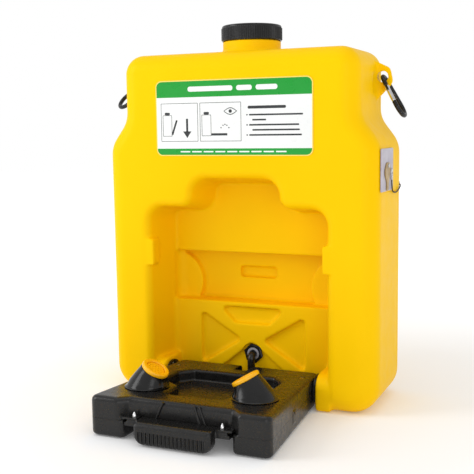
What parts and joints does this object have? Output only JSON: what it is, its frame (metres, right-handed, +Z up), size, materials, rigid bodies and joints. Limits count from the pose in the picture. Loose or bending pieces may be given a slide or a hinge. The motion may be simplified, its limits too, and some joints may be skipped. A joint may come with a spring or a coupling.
{
  "type": "eyewash station",
  "caption": "Portable gravity-fed eyewash tank with a fold-down basin tray, angled spray nozzles, screw filler cap, carrying snap hooks and a side inspection tag.",
  "frame": {"origin": "middle of the tank's flat base", "axes": "+X to the viewer's right when facing the front, -Y out of the front, +Z up the tank"},
  "size_m": [0.499, 0.385, 0.58],
  "materials": {
    "yellow_polyethylene": "satin blow-moulded polyethylene",
    "yellow_ring": "glossy",
    "black_plastic": "fine-grained",
    "gloss_black": "polished",
    "grey_plastic": "satin",
    "label": "printed film",
    "rubber": "matte",
    "steel": "bright",
    "brass": "worn",
    "black_steel": "black coated",
    "cord": "braided"
  },
  "bodies": {
    "tank": {"tank_shell": "yellow_polyethylene", "instruction_label": "label", "bulkhead_fitting": "grey_plastic", "bulkhead_gasket": "rubber", "bulkhead_nut": "black_plastic", "strainer": "grey_plastic", "outlet_elbow": "black_plastic", "valve_body": "grey_plastic", "valve_cap_left": "grey_plastic", "valve_cap_right": "grey_plastic", "hinge_pin_left": "steel", "hinge_pin_right": "steel", "stop_pin_left": "steel", "stop_pin_right": "steel", "tag_plate": "grey_plastic", "tag_rivet": "steel", "ring_rivet": "steel", "tag_ring": "steel", "tag_cord": "cord", "cord_crimp": "steel", "cord_anchor": "black_plastic"},
    "cap_carrier": {"cap_gasket": "rubber"},
    "cap": {"cap": "gloss_black", "cap_vent": "rubber"},
    "tray": {"tray_upper_shell": "black_plastic", "tray_lower_shell": "black_plastic", "tray_screw_front_left": "steel", "tray_screw_front_right": "steel", "tray_screw_rear_left": "steel", "tray_screw_rear_right": "steel", "handle": "black_plastic", "handle_screw_left": "steel", "handle_screw_right": "steel", "valve_rotor": "grey_plastic", "o_ring_left": "rubber", "o_ring_right": "rubber", "hinge_plate_left": "black_plastic", "hinge_plate_right": "black_plastic", "nozzle_body_left": "gloss_black", "nozzle_body_right": "gloss_black", "nozzle_nut_left": "black_plastic", "nozzle_nut_right": "black_plastic", "nozzle_ring_left": "yellow_ring", "nozzle_ring_right": "yellow_ring", "spray_screen_left": "yellow_ring", "spray_screen_right": "yellow_ring", "hose_left": "rubber", "hose_right": "rubber", "hose_clamp_left": "steel", "hose_clamp_right": "steel"},
    "carabiner_left": {"carabiner_body_left": "black_steel", "gate_pin_left": "steel"},
    "carabiner_right": {"carabiner_body_right": "black_steel", "gate_pin_right": "steel"},
    "gate_left": {"carabiner_gate_left": "steel"},
    "gate_right": {"carabiner_gate_right": "steel"},
    "tag": {"inspection_tag": "brass"}
  },
  "joints": [
    {"name": "tray_fold", "type": "hinge", "parent": "tank", "child": "tray", "pos_m": [0, -0.0525, 0.028], "axis": [-1, 0, 0], "range_deg": [0, 90]},
    {"name": "cap_lift", "type": "slide", "parent": "tank", "child": "cap_carrier", "axis": [0, 0, 1], "range_m": [0, 0.015]},
    {"name": "cap_turn", "type": "hinge", "parent": "cap_carrier", "child": "cap", "pos_m": [0, 0, 0.573], "axis": [0, 0, 1], "range_deg": [0, 900]},
    {"name": "carabiner_swing_right", "type": "hinge", "parent": "tank", "child": "carabiner_right", "pos_m": [0.2, 0.0325, 0.497], "axis": [0, 1, 0], "range_deg": [-100, 18]},
    {"name": "carabiner_swing_left", "type": "hinge", "parent": "tank", "child": "carabiner_left", "pos_m": [-0.2, 0.0325, 0.497], "axis": [0, -1, 0], "range_deg": [-67, 40]},
    {"name": "gate_open_right", "type": "hinge", "parent": "carabiner_right", "child": "gate_right", "pos_m": [0.20912, 0.02062, 0.48055], "axis": [0.8746, 0, 0.4848], "range_deg": [0, 20], "stiffness_Nm_per_rad": 0.03, "springref_deg": -11.46},
    {"name": "gate_open_left", "type": "hinge", "parent": "carabiner_left", "child": "gate_left", "pos_m": [-0.21302, 0.0234, 0.48142], "axis": [0.3596, 0.6428, -0.6764], "range_deg": [0, 20], "stiffness_Nm_per_rad": 0.03, "springref_deg": -11.46},
    {"name": "tag_swing", "type": "hinge", "parent": "tank", "child": "tag", "pos_m": [0.22, -0.0275, 0.366], "axis": [1, 0, 0], "range_deg": [-35, 6]}
  ],
  "couplings": [
    {"joint": "cap_lift", "follows": "cap_turn", "m_per_rad": 0.000955}
  ]
}
